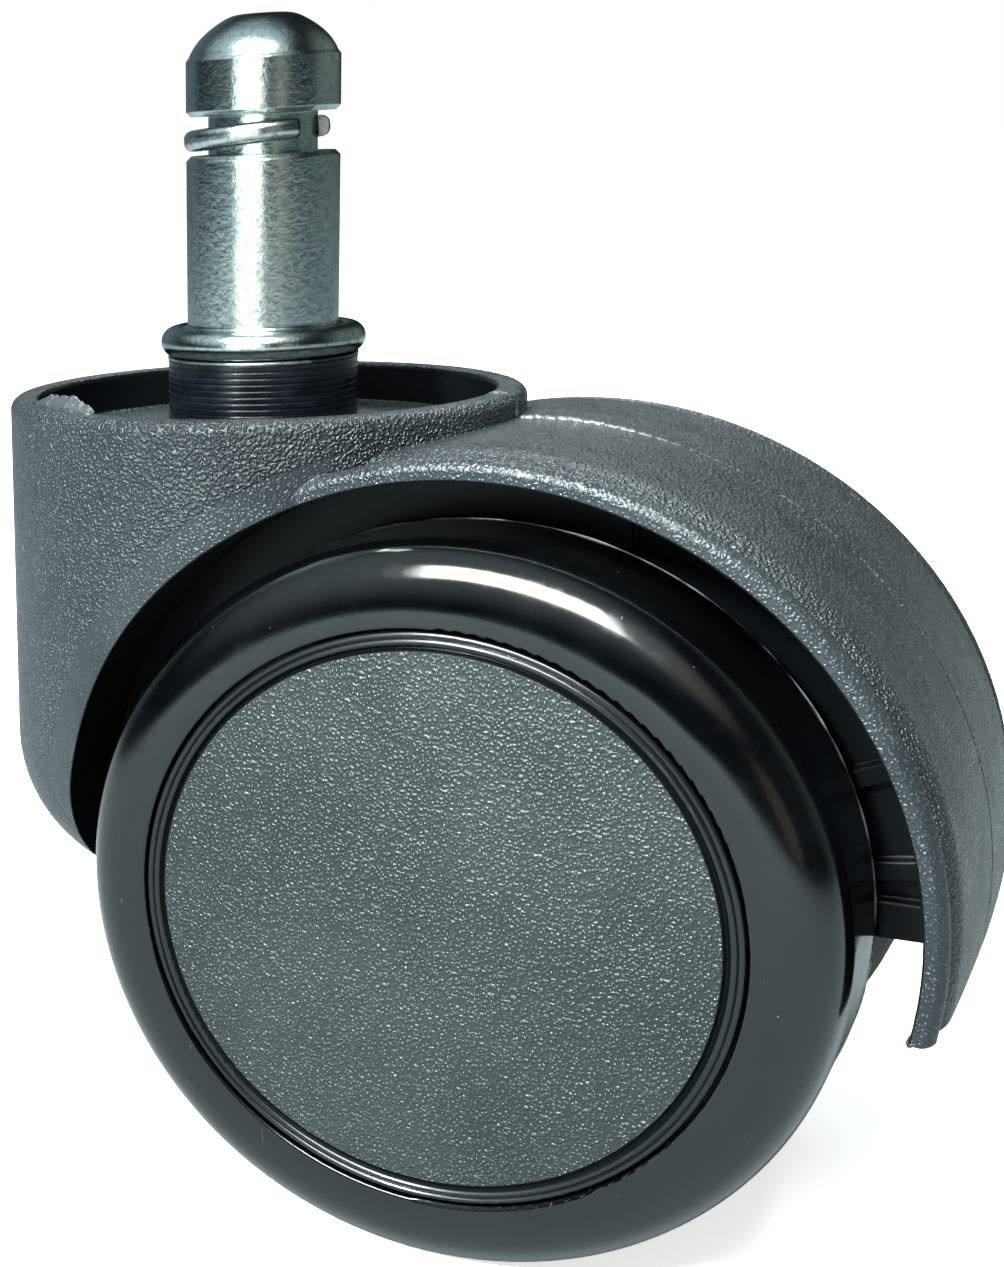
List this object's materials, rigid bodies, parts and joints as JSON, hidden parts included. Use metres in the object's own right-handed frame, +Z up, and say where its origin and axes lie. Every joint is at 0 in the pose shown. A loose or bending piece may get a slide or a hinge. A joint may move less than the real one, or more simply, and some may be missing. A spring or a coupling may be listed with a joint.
{
  "type": "chair caster",
  "caption": "Swivel caster for an office chair: a grip-ring stem turning in a hooded housing, with capped wheels side by side on a common axle.",
  "frame": {"origin": "on the swivel axis, where the stem's straight shank begins just above the collar", "axes": "+Z up the stem, +X from the swivel axis towards the axle, -Y towards the left wheel; the caster rolls stem first, towards -X"},
  "size_m": [0.0691, 0.0452, 0.084],
  "materials": {
    "zinc_steel": "bright zinc plate with a faint blue-green tint and fine turning marks",
    "spring_steel": "dull rolled spring steel with sheared edges",
    "bush_plastic": "turned black acetal, glossy",
    "black_nylon": "spark-textured black nylon with a soft grey sheen",
    "gloss_tread": "smooth glossy black with fine scuffs",
    "cap_plastic": "fine-grained black inside a smooth glossy border"
  },
  "bodies": {
    "stem": {"stem": "zinc_steel", "stem_clip": "spring_steel", "thrust_washer": "spring_steel", "retaining_washer": "spring_steel"},
    "grip_ring": {"grip_ring": "spring_steel"},
    "housing": {"housing": "black_nylon", "swivel_bush": "bush_plastic", "axle": "zinc_steel", "axle_clip_left": "spring_steel", "axle_clip_right": "spring_steel", "spacer_washer_left": "bush_plastic", "spacer_washer_right": "bush_plastic"},
    "left_wheel": {"wheel_core_left": "black_nylon", "wheel_bush_left": "bush_plastic", "tyre_left": "gloss_tread", "hub_cap_left": "cap_plastic"},
    "right_wheel": {"wheel_core_right": "black_nylon", "wheel_bush_right": "bush_plastic", "tyre_right": "gloss_tread", "hub_cap_right": "cap_plastic"}
  },
  "joints": [
    {"name": "swivel", "type": "hinge", "parent": "stem", "child": "housing", "pos_m": [0, 0, -0.012], "axis": [0, 0, 1], "continuous": true},
    {"name": "left_wheel_spin", "type": "hinge", "parent": "housing", "child": "left_wheel", "pos_m": [0.02, -0.015, -0.037], "axis": [0, 1, 0], "continuous": true},
    {"name": "right_wheel_spin", "type": "hinge", "parent": "housing", "child": "right_wheel", "pos_m": [0.02, 0.015, -0.037], "axis": [0, 1, 0], "continuous": true},
    {"name": "grip_ring_turn", "type": "hinge", "parent": "stem", "child": "grip_ring", "pos_m": [0, 0, 0.0136], "axis": [0, 0, 1], "continuous": true}
  ]
}
